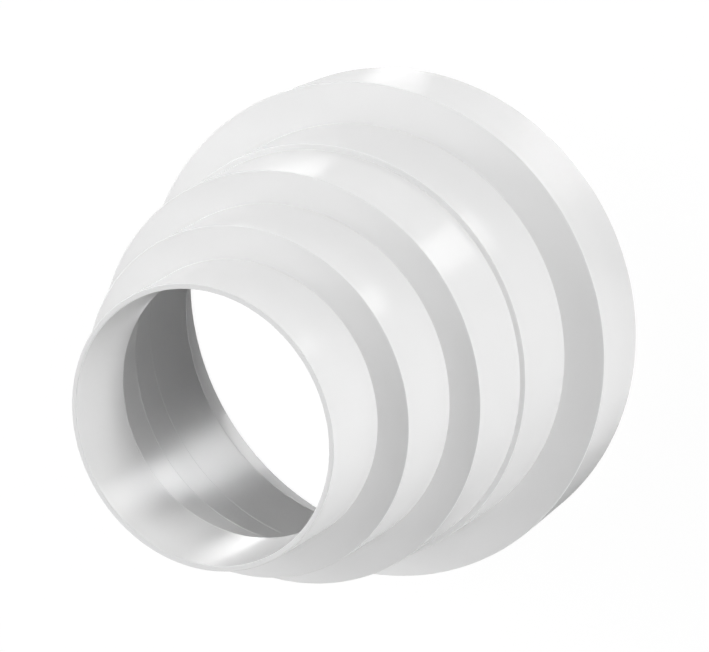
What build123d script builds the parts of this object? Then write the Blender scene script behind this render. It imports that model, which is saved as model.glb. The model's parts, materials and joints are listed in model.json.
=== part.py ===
from build123d import *
import os

# All sizes are in millimetres. The part stands on its big end, with its axis along Z.
# The spigots are counted from the small end, at the top, to the big end, at the bottom.

# Outer diameter at the root of the first spigot, which pushes into an 80 mm duct
first_root_diameter = 79.5

# How much wider each root is than the root before it, on the diameter.
# The second to fifth spigots serve ducts of 100, 120, 125 and 150 mm.
second_root_step = 20.0
third_root_step = 20.0
fourth_root_step = 5.5
fifth_root_step = 24.0

# How much each spigot narrows from its root to its tip, on the diameter.
# The fifth spigot is straight.
first_taper = 1.9
second_taper = 1.9
third_taper = 1.9
fourth_taper = 2.2

# Length of each spigot along the axis
first_length = 23.5
second_length = 23.5
third_length = 25.0
fourth_length = 26.0
fifth_length = 26.0

# Wall of the moulding, which is thinnest at the tips and at the rim of the big end
tip_wall = 1.5
root_wall = 2.0
shoulder_thickness = 2.0

# Width by which each convex edge of the moulding is broken
edge_break = 0.3

# Root radius of each spigot
first_root = first_root_diameter / 2
second_root = first_root + second_root_step / 2
third_root = second_root + third_root_step / 2
fourth_root = third_root + fourth_root_step / 2
fifth_root = fourth_root + fifth_root_step / 2

# Root radius, tip radius and length of the spigots that stand on a shoulder, from the bottom up
shouldered_spigots = [
    (fourth_root, fourth_root - fourth_taper / 2, fourth_length),
    (third_root, third_root - third_taper / 2, third_length),
    (second_root, second_root - second_taper / 2, second_length),
    (first_root, first_root - first_taper / 2, first_length),
]


def section_corners():
    """Corners of the half section, as radius and height, and those of them that are convex.

    The outside and the inside each run from the bottom up.
    """
    height = fifth_length
    outside = [(fifth_root, 0), (fifth_root, height)]
    inside = [(fifth_root - tip_wall, 0), (fifth_root - root_wall, height - shoulder_thickness)]
    convex = outside + inside[:1]

    for root, tip, length in shouldered_spigots:
        outside.append((root, height))
        inside.append((root - root_wall, height - shoulder_thickness))
        height += length
        outside.append((tip, height))
        inside.append((tip - tip_wall, height - shoulder_thickness))
        convex += [outside[-1], inside[-2]]

    # The last tip carries no shoulder: it is the open rim of the small end
    small_rim = (inside.pop()[0], height)
    inside.append(small_rim)
    convex.append(small_rim)
    return outside, inside, convex


def moulding():
    """The whole moulding, turned from its half section after the convex edges are broken."""
    outside, inside, convex = section_corners()
    section = make_face(Polyline(*outside, *reversed(inside), close=True))
    sharp = [
        corner
        for corner in section.vertices()
        if any(abs(corner.X - x) + abs(corner.Y - y) < 1e-4 for x, y in convex)
    ]
    return revolve(Plane.XZ * chamfer(sharp, edge_break), Axis.Z, 360)


reducer_body = moulding()

os.makedirs("parts", exist_ok=True)
export_step(reducer_body, "parts/reducer_body.step")
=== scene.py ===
"""The looks of a stepped duct reducer, moulded in one piece from white plastic.

Lengths are in metres, in the part's own frame, except where a name ends in _mm. The part stands
on its big end, with its axis along Z. The spigots are named from the small end, at the top.
"""

import json
import logging
import math
from dataclasses import dataclass, field
from enum import Enum

import bpy
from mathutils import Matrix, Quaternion, Vector


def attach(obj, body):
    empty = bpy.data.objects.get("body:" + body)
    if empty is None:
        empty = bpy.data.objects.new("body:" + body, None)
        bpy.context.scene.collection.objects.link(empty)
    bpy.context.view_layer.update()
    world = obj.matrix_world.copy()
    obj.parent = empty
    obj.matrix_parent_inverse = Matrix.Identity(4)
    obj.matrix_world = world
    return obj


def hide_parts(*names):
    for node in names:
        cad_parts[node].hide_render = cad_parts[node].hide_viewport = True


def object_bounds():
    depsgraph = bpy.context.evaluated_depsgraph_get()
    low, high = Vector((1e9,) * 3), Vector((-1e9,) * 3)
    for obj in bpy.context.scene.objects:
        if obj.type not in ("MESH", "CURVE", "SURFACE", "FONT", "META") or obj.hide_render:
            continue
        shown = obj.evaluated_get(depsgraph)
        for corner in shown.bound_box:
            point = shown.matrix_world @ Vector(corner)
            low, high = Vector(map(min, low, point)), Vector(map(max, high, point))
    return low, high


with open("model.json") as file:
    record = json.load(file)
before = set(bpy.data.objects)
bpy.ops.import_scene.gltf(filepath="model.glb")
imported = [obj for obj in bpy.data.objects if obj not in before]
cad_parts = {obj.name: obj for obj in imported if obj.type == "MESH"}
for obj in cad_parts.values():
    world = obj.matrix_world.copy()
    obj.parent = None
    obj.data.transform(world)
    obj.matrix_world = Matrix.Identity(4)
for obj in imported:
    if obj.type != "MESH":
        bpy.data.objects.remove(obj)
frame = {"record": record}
cad_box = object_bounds()

MM = 0.001
BODY_NODE = "reducer_body"

log = logging.getLogger("duct_reducer")


class Ray(Enum):
    """The kinds of ray that a studio surface answers with its plain white."""

    CAMERA = "Is Camera Ray"
    GLOSSY = "Is Glossy Ray"
    TRANSMISSION = "Is Transmission Ray"


class Sum(Enum):
    """The sums that the materials work out."""

    PRODUCT = "MULTIPLY"
    LARGER = "MAXIMUM"
    IS_ABOVE = "GREATER_THAN"
    IS_BELOW = "LESS_THAN"


def grey(level: float) -> tuple[float, float, float, float]:
    """Gives an opaque grey, whose level runs from 0 for black to 1 for white."""
    return (level, level, level, 1.0)


class Sheet:
    """A node tree that is laid out by short calls."""

    def __init__(self, tree: bpy.types.NodeTree) -> None:
        """Empties the tree, which is a material's or the world's."""
        self.tree = tree
        tree.nodes.clear()

    def add(self, kind: str, settings: dict | None = None, **values: object) -> bpy.types.Node:
        """Adds one node.

        Args:
            kind: The node's type in Blender, without its leading ShaderNode.
            settings: The node's own properties, by name.
            values: Its inputs, by name with underscores for spaces. A socket is linked.

        Returns:
            The new node.
        """
        node = self.tree.nodes.new("ShaderNode" + kind)
        for name, value in (settings or {}).items():
            setattr(node, name, value)
        for name, value in values.items():
            self.feed(node.inputs[name.replace("_", " ")], value)
        return node

    def feed(self, socket: bpy.types.NodeSocket, value: object) -> None:
        """Sets an input to a value, or links it when the value is an output.

        Args:
            socket: The input.
            value: A number, a colour or the output of another node.
        """
        if isinstance(value, bpy.types.NodeSocket):
            self.tree.links.new(value, socket)
        else:
            socket.default_value = value

    def fill(
        self, kind: str, *values: object, settings: dict | None = None
    ) -> bpy.types.NodeSocket:
        """Adds one node and fills its inputs in their order.

        Args:
            kind: The node's type in Blender, without its leading ShaderNode.
            values: Its inputs, as numbers or outputs.
            settings: The node's own properties, by name.

        Returns:
            The node's first output.
        """
        node = self.add(kind, settings)
        for socket, value in zip(node.inputs, values):
            self.feed(socket, value)
        return node.outputs[0]

    def work_out(self, kind: Sum, *values: object) -> bpy.types.NodeSocket:
        """Adds one sum of numbers or outputs, and gives its output."""
        return self.fill("Math", *values, settings={"operation": kind.value})

    def is_any(self, *rays: Ray) -> bpy.types.NodeSocket:
        """Tells whether the ray is of one of these kinds.

        Args:
            rays: The kinds.

        Returns:
            An output that is 1 for those rays and 0 for all others.
        """
        path = self.add("LightPath")
        found = path.outputs[rays[0].value]
        for ray in rays[1:]:
            found = self.work_out(Sum.LARGER, found, path.outputs[ray.value])
        return found

    def glow(self, strength: object) -> bpy.types.NodeSocket:
        """Adds a white glow, whose strength is a number or an output, and gives its output."""
        return self.add("Emission", Strength=strength).outputs["Emission"]


def new_finish(name: str) -> tuple[bpy.types.Material, Sheet]:
    """Makes an empty material.

    Args:
        name: What it is called.

    Returns:
        The material and the sheet of its node tree.
    """
    material = bpy.data.materials.new(name)
    material.use_nodes = True
    return material, Sheet(material.node_tree)


@dataclass(frozen=True)
class SatinPlastic:
    """White moulded plastic with a soft satin gloss."""

    name: str = "white_satin_plastic"
    colour: tuple[float, float, float] = (0.83, 0.83, 0.83)
    colour_drift: float = 0.012
    gloss: float = 0.5
    roughness: float = 0.24
    roughness_drift: float = 0.05
    drift_size: float = 35 * MM
    drift_detail: float = 2.0
    peel_size: float = 1.6 * MM
    peel_depth: float = 0.0012 * MM
    grain_size: float = 0.22 * MM
    grain_depth: float = 0.0004 * MM
    relief_detail: float = 1.0

    def material(self) -> bpy.types.Material:
        """Makes the plastic.

        Returns:
            The material, with its slow drift of tone and gloss and its fine relief.
        """
        material, sheet = new_finish(self.name)
        place = sheet.add("TexCoord").outputs["Object"]
        drift = sheet.add(
            "TexNoise", Vector=place, Scale=1 / self.drift_size, Detail=self.drift_detail
        ).outputs["Fac"]
        low, high = self.roughness - self.roughness_drift, self.roughness + self.roughness_drift
        roughness = sheet.add("MapRange", Value=drift, To_Min=low, To_Max=high)
        tone = sheet.add("ValToRGB", Fac=drift)
        for stop, share in zip(tone.color_ramp.elements, (-self.colour_drift, self.colour_drift)):
            stop.color = (*[band * (1 + share) for band in self.colour], 1.0)
        shader = sheet.add(
            "BsdfPrincipled",
            Base_Color=tone.outputs["Color"],
            Roughness=roughness.outputs["Result"],
            Normal=self.relief(sheet, place),
            Specular_IOR_Level=self.gloss,
        )
        sheet.add("OutputMaterial", Surface=shader.outputs["BSDF"])
        return material

    def relief(self, sheet: Sheet, place: bpy.types.NodeSocket) -> bpy.types.NodeSocket:
        """Lays the mould's orange peel and fine grain on the plastic.

        Args:
            sheet: The plastic's node tree.
            place: The place on the part.

        Returns:
            The normal to shade with.
        """
        normal = None
        for size, depth in ((self.peel_size, self.peel_depth), (self.grain_size, self.grain_depth)):
            noise = sheet.add("TexNoise", Vector=place, Scale=1 / size, Detail=self.relief_detail)
            bump = sheet.add("Bump", Height=noise.outputs["Fac"], Distance=depth)
            if normal is not None:
                sheet.feed(bump.inputs["Normal"], normal)
            normal = bump.outputs["Normal"]
        return normal


@dataclass(frozen=True)
class Corner:
    """A corner of the half section, and the radius that rounds it."""

    radius: float
    height: float
    rounding: float


@dataclass(frozen=True)
class WallPoint:
    """A point on the rounded half section, with the direction in which its surface faces."""

    radius: float
    height: float
    out: float
    up: float


@dataclass(frozen=True)
class Spigot:
    """One round step of the reducer, which narrows a little from its root to its tip."""

    root_radius: float
    tip_radius: float
    bottom: float
    top: float


@dataclass
class ReducerBody:
    """The whole moulding: five spigots on one axis with flat shoulders between them.

    The wall is thin at the tips and at the big rim, and thicker at the roots. The lower inner
    edges of the bores are rounder than the other edges.
    """

    order: tuple[str, ...] = ("fifth", "fourth", "third", "second", "first")
    tapers: tuple[float, ...] = (0.0, 2.2 * MM, 1.9 * MM, 1.9 * MM, 1.9 * MM)
    thin_wall: float = 1.5 * MM
    thick_wall: float = 2.0 * MM
    shoulder_thickness: float = 2.0 * MM
    edge_rounding: float = 0.3 * MM
    corner_rounding: float = 0.12 * MM
    bore_edge_rounding: float = 1.2 * MM
    rounding_steps: int = 5
    segments: int = 288
    finish: SatinPlastic = field(default_factory=SatinPlastic)

    def spigots(self) -> list[Spigot]:
        """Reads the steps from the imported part's mounts.

        Returns:
            The spigots from the big end up.
        """
        mounts = {mount["name"]: mount for mount in frame["record"]["mounts"]}
        faces = [name + "_shoulder" for name in self.order[1:]] + ["small_rim"]
        bottom = 0.0
        found = []
        for name, taper, face in zip(self.order, self.tapers, faces):
            root_radius = mounts[name + "_spigot"]["dims"]["r_mm"] * MM
            top = mounts[face]["pos_m"][2]
            found.append(Spigot(root_radius, root_radius - taper / 2, bottom, top))
            bottom = top
        return found

    def section(self) -> list[Corner]:
        """Lists the corners of the half section.

        Returns:
            The corners, up the outside from the big rim and down the inside again.
        """
        big_end, *others = self.spigots()
        small_end = others[-1]
        under = self.shoulder_thickness
        thin, thick = self.thin_wall, self.thick_wall
        edge, corner = self.edge_rounding, self.corner_rounding
        outside = [
            Corner(big_end.root_radius, big_end.bottom, edge),
            Corner(big_end.tip_radius, big_end.top, edge),
        ]
        inside = [
            Corner(big_end.root_radius - thin, big_end.bottom, edge),
            Corner(big_end.tip_radius - thick, big_end.top - under, corner),
        ]
        for spigot in others:
            outside.append(Corner(spigot.root_radius, spigot.bottom, corner))
            outside.append(Corner(spigot.tip_radius, spigot.top, edge))
            low = Corner(spigot.root_radius - thick, spigot.bottom - under, self.bore_edge_rounding)
            if spigot is small_end:
                high = Corner(spigot.tip_radius - thin, spigot.top, edge)
            else:
                high = Corner(spigot.tip_radius - thin, spigot.top - under, corner)
            inside += [low, high]
        return outside + inside[::-1]

    def rounded(self) -> list[WallPoint]:
        """Rounds each corner of the half section by an arc that meets both its sides smoothly.

        Returns:
            The points of the closed outline, each with the direction in which it faces.
        """
        corners = self.section()
        outline = []
        for index, corner in enumerate(corners):
            here = Vector((corner.radius, corner.height))
            before, after = corners[index - 1], corners[(index + 1) % len(corners)]
            arriving = (here - Vector((before.radius, before.height))).normalized()
            leaving = (Vector((after.radius, after.height)) - here).normalized()
            turn = math.atan2(arriving.cross(leaving), arriving.dot(leaving))
            start = here - arriving * corner.rounding * math.tan(abs(turn) / 2)
            facing = math.atan2(-arriving.x, arriving.y)
            side = math.copysign(corner.rounding, turn)
            centre = start - side * Vector((math.cos(facing), math.sin(facing)))
            for step in range(self.rounding_steps + 1):
                angle = facing + turn * step / self.rounding_steps
                normal = Vector((math.cos(angle), math.sin(angle)))
                point = centre + side * normal
                outline.append(WallPoint(point.x, point.y, normal.x, normal.y))
        return outline

    def turned(self) -> bpy.types.Mesh:
        """Turns the rounded outline about the axis.

        Returns:
            The closed mesh, which is shaded smoothly.
        """
        outline = self.rounded()
        rows = len(outline)
        places, normals, faces = [], [], []
        for column in range(self.segments):
            angle = math.tau * column / self.segments
            cosine, sine = math.cos(angle), math.sin(angle)
            near, far = column * rows, (column + 1) % self.segments * rows
            for row, point in enumerate(outline):
                places.append((point.radius * cosine, point.radius * sine, point.height))
                normals.append((point.out * cosine, point.out * sine, point.up))
                above = (row + 1) % rows
                faces.append((near + row, far + row, far + above, near + above))
        mesh = bpy.data.meshes.new("moulded_body")
        mesh.from_pydata(places, [], faces)
        mesh.shade_smooth()
        mesh.normals_split_custom_set_from_vertices(normals)
        return mesh

    def build(self) -> bpy.types.Object:
        """Makes the moulding and dresses it.

        Returns:
            The moulding, in its plastic.
        """
        mesh = self.turned()
        mesh.materials.append(self.finish.material())
        body = bpy.data.objects.new("moulded_body", mesh)
        bpy.context.scene.collection.objects.link(body)
        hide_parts(BODY_NODE)
        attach(body, "root")
        return body


@dataclass(frozen=True)
class SoftLamp:
    """A soft lamp, as wide and tall as a light box, that is aimed at the middle of the part."""

    name: str
    azimuth_deg: float
    elevation_deg: float
    radiance: float
    height: float = 0.3
    width: float = 0.9
    distance: float = 1.4

    def build(self, target: Vector) -> bpy.types.Object:
        """Hangs the lamp.

        Args:
            target: The point that it is aimed at.

        Returns:
            The lamp.
        """
        azimuth, elevation = math.radians(self.azimuth_deg), math.radians(self.elevation_deg)
        level = math.cos(elevation)
        towards = Vector(
            (math.cos(azimuth) * level, math.sin(azimuth) * level, math.sin(elevation))
        )
        light = bpy.data.lights.new(self.name, "AREA")
        light.shape = "RECTANGLE"
        light.size, light.size_y = self.width, self.height
        light.energy = self.radiance * math.pi * self.width * self.height
        lamp = bpy.data.objects.new(self.name, light)
        lamp.location = target + towards * self.distance
        lamp.rotation_mode = "QUATERNION"
        lamp.rotation_quaternion = towards.to_track_quat("Z", "Y")
        lamp.visible_camera = False
        lamp.visible_glossy = False
        bpy.context.scene.collection.objects.link(lamp)
        return lamp


def seen_in_gloss(mesh: bpy.types.Mesh, material: bpy.types.Material) -> bpy.types.Object:
    """Puts up a piece of the studio that shows in the plastic's gloss and nowhere else.

    Args:
        mesh: The piece's mesh, whose name it takes.
        material: Its glow.

    Returns:
        The piece.
    """
    material.cycles.emission_sampling = "NONE"
    mesh.materials.append(material)
    piece = bpy.data.objects.new(mesh.name, mesh)
    piece.visible_camera = False
    piece.visible_diffuse = False
    piece.visible_shadow = False
    bpy.context.scene.collection.objects.link(piece)
    return piece


@dataclass(frozen=True)
class GlowPanel:
    """A clear glowing sheet under the floor, which the steep walls mirror as a soft streak.

    Its glow is added to what lies behind it.

    Attributes:
        name: What the panel is called.
        azimuth_deg: The heading, counted from X, of the mirrored rays that reach its middle.
        turn_deg: How far the panel's length is turned from that heading.
        floor_point_mm: Where those rays pass the floor.
        across_mm: Its width.
        along_mm: Its length.
        depth_mm: How deep it lies under the floor.
        strength: How strongly it glows.
        fall_deg: How steeply those rays fall.
    """

    name: str
    azimuth_deg: float
    turn_deg: float
    floor_point_mm: tuple[float, float]
    across_mm: float
    along_mm: float
    depth_mm: float
    strength: float
    fall_deg: float = 58.3

    def material(self) -> bpy.types.Material:
        """Makes the panel's glow.

        Returns:
            The material, which lets all that is behind it through.
        """
        material, sheet = new_finish(self.name)
        clear = sheet.add("BsdfTransparent").outputs["BSDF"]
        both = sheet.fill("AddShader", sheet.glow(self.strength), clear)
        sheet.add("OutputMaterial", Surface=both)
        return material

    def build(self) -> bpy.types.Object:
        """Lays the panel level, where the rays that pass the floor point come down.

        Returns:
            The panel.
        """
        azimuth = math.radians(self.azimuth_deg)
        lie = math.radians(self.azimuth_deg + self.turn_deg)
        depth = self.depth_mm * MM
        run = depth / math.tan(math.radians(self.fall_deg))
        middle = Vector((*[part * MM for part in self.floor_point_mm], -depth))
        middle += run * Vector((math.cos(azimuth), math.sin(azimuth), 0.0))
        onward = Vector((math.cos(lie), math.sin(lie), 0.0))
        sideways = Vector((-math.sin(lie), math.cos(lie), 0.0))
        half_on = onward * (self.along_mm * MM) / 2
        half_side = sideways * (self.across_mm * MM) / 2
        places = [
            middle - half_on - half_side,
            middle + half_on - half_side,
            middle + half_on + half_side,
            middle - half_on + half_side,
        ]
        mesh = bpy.data.meshes.new(self.name)
        mesh.from_pydata(places, [], [tuple(range(len(places)))])
        return seen_in_gloss(mesh, self.material())


@dataclass(frozen=True)
class GlowBowl:
    """A bowl under the floor, white on one side and grey on the other, for the walls to mirror.

    Its rings run from just under the floor to near the pole. Its tones stand evenly around it,
    from one half turn before X to one half turn after it.
    """

    name: str = "gloss_bowl"
    radius: float = 3.0
    rings: int = 12
    segments: int = 48
    first_ring_deg: float = 1.0
    rings_span_deg: float = 88.0
    strength: float = 1.8
    tones: tuple[float, ...] = (
        0.5, 0.36, 0.26, 0.66, 1.15, 1.35, 1.05, 0.95, 0.8, 0.15, 0.03, 0.24, 0.5,
    )

    def material(self) -> bpy.types.Material:
        """Makes the glow that changes around the bowl.

        Returns:
            The material.
        """
        material, sheet = new_finish("bowl_glow")
        place = sheet.add("TexCoord").outputs["Object"]
        turn = sheet.add("TexGradient", {"gradient_type": "RADIAL"}, Vector=place)
        ramp = sheet.add("ValToRGB", Fac=turn.outputs["Fac"])
        stops = ramp.color_ramp.elements
        last = len(self.tones) - 1
        for index in range(1, last):
            stops.new(index / last)
        for stop, tone in zip(stops, self.tones):
            stop.color = grey(tone / self.strength)
        glow = sheet.add("Emission", Color=ramp.outputs["Color"], Strength=self.strength)
        sheet.add("OutputMaterial", Surface=glow.outputs["Emission"])
        return material

    def build(self) -> bpy.types.Object:
        """Hangs the bowl under the floor.

        Returns:
            The bowl.
        """
        places, faces = [], []
        for ring in range(self.rings + 1):
            sink = math.radians(self.first_ring_deg + self.rings_span_deg * ring / self.rings)
            out, down = self.radius * math.cos(sink), self.radius * math.sin(sink)
            for segment in range(self.segments):
                angle = math.tau * segment / self.segments
                places.append((out * math.cos(angle), out * math.sin(angle), -down))
        for ring in range(self.rings):
            for segment in range(self.segments):
                here, after = ring * self.segments, (segment + 1) % self.segments
                below = here + self.segments
                faces.append((here + segment, here + after, below + after, below + segment))
        mesh = bpy.data.meshes.new(self.name)
        mesh.from_pydata(places, [], faces)
        return seen_in_gloss(mesh, self.material())


@dataclass(frozen=True)
class PaleFloor:
    """A round matt floor that is much wider than the camera's view.

    It is seen as white with a part of the shadow, and as plain white in the big mouth. A narrow
    ring of it glows a little on to the lowest inner wall, and fades from one side to the other.
    """

    radius: float = 6.0
    segments: int = 96
    colour: float = 0.8
    white_share: float = 0.92
    white_strength: float = 1.03
    mouth_radius: float = 72 * MM
    ring_inner: float = 65 * MM
    ring_outer: float = 72.5 * MM
    ring_strength: float = 0.95

    def ring_glow(
        self, sheet: Sheet, place: bpy.types.NodeSocket, apart: bpy.types.NodeSocket
    ) -> bpy.types.NodeSocket:
        """Makes the glow of the ring.

        Args:
            sheet: The floor's node tree.
            place: The place on the floor.
            apart: How far that is from the axis.

        Returns:
            The glow's output.
        """
        beyond = sheet.work_out(Sum.IS_ABOVE, apart, self.ring_inner)
        within = sheet.work_out(Sum.IS_BELOW, apart, self.ring_outer)
        ring = sheet.work_out(Sum.PRODUCT, beyond, within)
        level = sheet.work_out(Sum.PRODUCT, ring, self.ring_strength)
        side = sheet.add("SeparateXYZ", Vector=place).outputs["X"]
        fade = sheet.add(
            "MapRange", Value=side, From_Min=self.ring_outer, From_Max=-self.ring_outer
        )
        return sheet.glow(sheet.work_out(Sum.PRODUCT, level, fade.outputs["Result"]))

    def material(self) -> bpy.types.Material:
        """Makes the floor's white.

        Returns:
            The material.
        """
        material, sheet = new_finish("pale_floor")
        matt = sheet.add("BsdfDiffuse", Color=grey(self.colour)).outputs["BSDF"]
        place = sheet.add("TexCoord").outputs["Object"]
        apart = sheet.add("VectorMath", {"operation": "LENGTH"}, Vector=place).outputs["Value"]
        lit = sheet.fill("AddShader", matt, self.ring_glow(sheet, place, apart))
        in_mouth = sheet.work_out(Sum.IS_BELOW, apart, self.mouth_radius)
        share = sheet.work_out(Sum.LARGER, in_mouth, self.white_share)
        seen = sheet.is_any(Ray.CAMERA, Ray.GLOSSY, Ray.TRANSMISSION)
        white = sheet.glow(self.white_strength)
        shown = sheet.fill("MixShader", sheet.work_out(Sum.PRODUCT, share, seen), lit, white)
        sheet.add("OutputMaterial", Surface=shown)
        return material

    def build(self) -> bpy.types.Object:
        """Lays the floor.

        Returns:
            The floor.
        """
        bpy.ops.mesh.primitive_circle_add(
            vertices=self.segments, radius=self.radius, fill_type="NGON"
        )
        floor = bpy.context.object
        floor.name = "floor"
        floor.data.materials.append(self.material())
        floor.visible_glossy = False
        return floor


@dataclass
class Studio:
    """A plain white floor under soft low lamps, with glowing sheets below it for the gloss."""

    floor: PaleFloor = field(default_factory=PaleFloor)
    bowl: GlowBowl = field(default_factory=GlowBowl)
    lamps: tuple[SoftLamp, ...] = (
        SoftLamp("side_lamp_1", 0.0, 21.0, 5.47),
        SoftLamp("side_lamp_2", 30.0, 36.0, 3.73, height=0.7),
        SoftLamp("back_lamp_1", 60.0, 36.0, 3.21, height=0.7),
        SoftLamp("back_lamp_2", 90.0, 12.0, 3.62, height=0.5),
        SoftLamp("back_lamp_3", 120.0, 12.0, 3.86, height=0.5),
        SoftLamp("side_lamp_3", 210.0, 21.0, 7.4),
        SoftLamp("front_lamp_1", 240.0, 21.0, 3.18),
        SoftLamp("front_lamp_2", 270.0, 12.0, 3.46, height=0.5),
        SoftLamp("front_lamp_3", 270.0, 36.0, 2.17, height=0.7),
    )
    panels: tuple[GlowPanel, ...] = (
        GlowPanel("bore_panel_1", 288.0, 0.0, (-2.0, 34.0), 56.0, 37.0, 200.0, 14.0),
        GlowPanel("wall_panel_1", 22.0, 0.0, (65.0, -45.0), 22.0, 22.0, 30.0, 0.6),
        GlowPanel("wall_panel_2", 22.0, 48.0, (100.0, -16.0), 14.0, 51.0, 30.0, 2.3),
        GlowPanel("wall_panel_3", 288.0, 0.0, (23.0, -107.0), 33.0, 42.0, 30.0, 2.0),
        GlowPanel("wall_panel_4", 202.0, 20.0, (-46.0, -63.0), 86.0, 24.0, 30.0, 0.35),
        GlowPanel("bore_panel_2", 288.0, -3.0, (2.5, 24.0), 46.0, 50.0, 100.0, 1.22),
        GlowPanel("bore_panel_3", 288.0, -3.0, (12.0, -12.0), 46.0, 25.0, 100.0, 12.8),
        GlowPanel("bore_panel_4", 22.0, -16.0, (22.5, 47.5), 50.0, 45.0, 100.0, 5.7),
        GlowPanel("bore_panel_5", 337.0, 0.0, (36.0, 8.0), 34.0, 30.0, 30.0, 2.8),
        GlowPanel("bore_panel_6", 135.0, 0.0, (-15.0, 61.0), 20.0, 18.0, 30.0, 0.4),
        GlowPanel("bore_panel_7", 288.0, 0.0, (-10.0, 70.5), 18.0, 5.0, 8.0, 2.6),
        GlowPanel("bore_panel_8", 283.0, 0.0, (15.0, -40.0), 22.0, 18.0, 30.0, 2.6),
        GlowPanel("edge_panel", 60.0, 0.0, (60.0, 104.0), 360.0, 360.0, 600.0, 1.1, fall_deg=90.0),
    )

    def sky(self) -> None:
        """Sets the sky: white where it is seen or mirrored, and dark to everything else."""
        world = bpy.data.worlds.new("studio")
        bpy.context.scene.world = world
        world.use_nodes = True
        sheet = Sheet(world.node_tree)
        seen = sheet.is_any(Ray.CAMERA, Ray.GLOSSY, Ray.TRANSMISSION)
        light = sheet.add("Background", Color=grey(1.0), Strength=seen)
        sheet.add("OutputWorld", Surface=light.outputs["Background"])

    def build(self) -> list[bpy.types.Object]:
        """Lays the floor and what glows below it, sets the sky and hangs the lamps.

        Returns:
            The floor, the bowl, the panels and the lamps.
        """
        floor = self.floor.build()
        self.sky()
        low, high = cad_box
        middle = (low + high) / 2
        return [
            floor,
            self.bowl.build(),
            *[panel.build() for panel in self.panels],
            *[lamp.build(middle) for lamp in self.lamps],
        ]


@dataclass(frozen=True)
class ViewPoint:
    """The photograph's view of the part: steeply down on it, with the camera rolled over."""

    location: tuple[float, float, float] = (0.0, -366.3 * MM, 657.4 * MM)
    heading_deg: float = 0.56
    down_deg: float = 59.78
    roll_deg: float = -119.43
    sensor_mm: float = 36.0
    lens_mm: float = 126.79

    def build(self) -> bpy.types.Object:
        """Sets up the camera.

        Returns:
            The camera, which is made the scene's own.
        """
        heading, down = math.radians(self.heading_deg), math.radians(self.down_deg)
        level = math.cos(down)
        forward = Vector((math.sin(heading) * level, math.cos(heading) * level, -math.sin(down)))
        roll = Quaternion((0.0, 0.0, 1.0), math.radians(self.roll_deg))
        data = bpy.data.cameras.new("camera")
        data.sensor_fit = "HORIZONTAL"
        data.sensor_width = self.sensor_mm
        data.lens = self.lens_mm
        camera = bpy.data.objects.new("camera", data)
        camera.location = self.location
        camera.rotation_mode = "QUATERNION"
        camera.rotation_quaternion = forward.to_track_quat("-Z", "Y") @ roll
        bpy.context.scene.collection.objects.link(camera)
        bpy.context.scene.camera = camera
        return camera


def main() -> None:
    """Builds the part, the studio and the camera, and reports each piece."""
    logging.basicConfig(level=logging.INFO, format="%(message)s")
    bpy.context.scene.view_settings.view_transform = "Standard"
    body = ReducerBody().build()
    log.info("%s: %d faces", body.name, len(body.data.polygons))
    for piece in Studio().build():
        log.info("%s is in place", piece.name)
    camera = ViewPoint().build()
    log.info("%s at %s", camera.name, tuple(round(part, 4) for part in camera.location))


if __name__ == "__main__":
    main()
